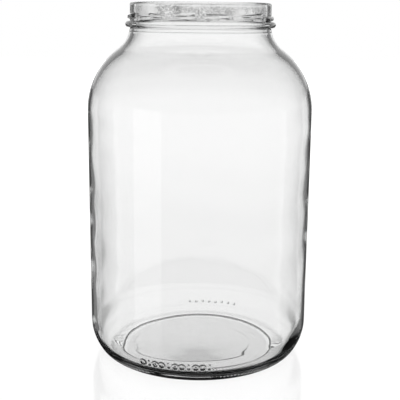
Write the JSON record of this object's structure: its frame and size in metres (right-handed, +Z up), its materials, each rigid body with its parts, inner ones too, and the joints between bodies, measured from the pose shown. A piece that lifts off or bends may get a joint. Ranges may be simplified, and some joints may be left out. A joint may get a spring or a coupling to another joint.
{
  "type": "preserving jar",
  "caption": "Wide-mouth clear glass preserving jar with straight sides, round shoulders, a ring bead and raised lugs round the neck, and a domed base.",
  "frame": {"origin": "middle of the standing ring, on the surface the jar stands on", "axes": "+Z up along the jar's axis, -Y towards the front, +X to the viewer's right"},
  "size_m": [0.1544, 0.1544, 0.245],
  "materials": {
    "glass": "clear, smooth and glossy, with a very slight cool tint in thick places"
  },
  "bodies": {
    "root": {"jar_glass": "glass"}
  },
  "joints": []
}
